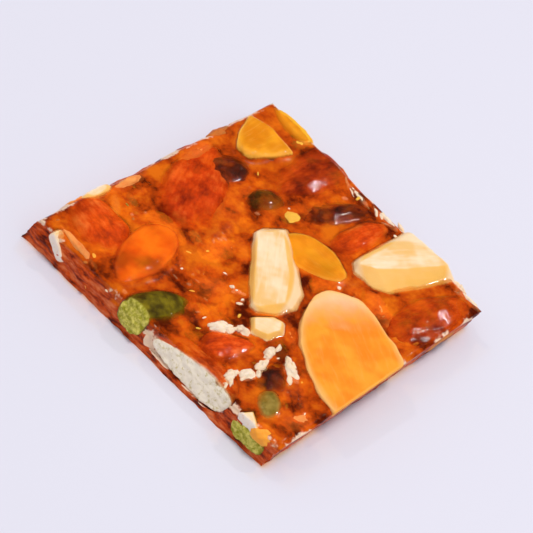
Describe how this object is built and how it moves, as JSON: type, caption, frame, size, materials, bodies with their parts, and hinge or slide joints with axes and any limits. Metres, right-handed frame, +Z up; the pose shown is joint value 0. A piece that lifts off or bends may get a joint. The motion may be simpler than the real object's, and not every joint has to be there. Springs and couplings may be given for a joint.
{
  "type": "dried fruit brittle",
  "caption": "Hand-cut square of glossy amber brittle, set with sliced almonds, pistachios and raisins, lying flat.",
  "frame": {"origin": "centre of the bounding box's base, on the flat underside", "axes": "+Z up out of the glossy top; +X along the front cut edge; +Y towards the back cut edge"},
  "size_m": [0.0436, 0.0406, 0.0055],
  "materials": {
    "caramel": "clear amber boiled sugar, high gloss",
    "almond_skin": "red-brown almond skin under a thin glaze",
    "almond_flesh": "cream cut almond, golden where glazed",
    "pistachio": "green cut pistachio",
    "raisin": "dark wrinkled raisin under a thin glaze"
  },
  "bodies": {
    "root": {"caramel": "caramel", "sliver_middle": "almond_flesh", "flake_right": "almond_flesh", "chip_middle": "almond_flesh", "wedge_back": "almond_flesh", "flake_gold": "almond_flesh", "chip_corner": "almond_flesh", "flake_front": "almond_flesh", "pistachio_front": "pistachio", "almond_cut_front": "almond_flesh", "flake_middle": "almond_flesh", "raisin_left": "raisin", "pistachio_left": "pistachio", "almond_left": "almond_skin", "almond_back": "almond_skin", "almond_edge_back": "almond_flesh", "raisin_back": "raisin", "almond_middle": "almond_skin", "almond_right": "almond_skin", "almond_edge_left": "almond_flesh", "almond_front_left": "almond_skin", "almond_front": "almond_skin", "sliver_front": "almond_flesh", "pistachio_corner": "pistachio", "raisin_front": "raisin", "pistachio_bit": "pistachio"}
  },
  "joints": []
}
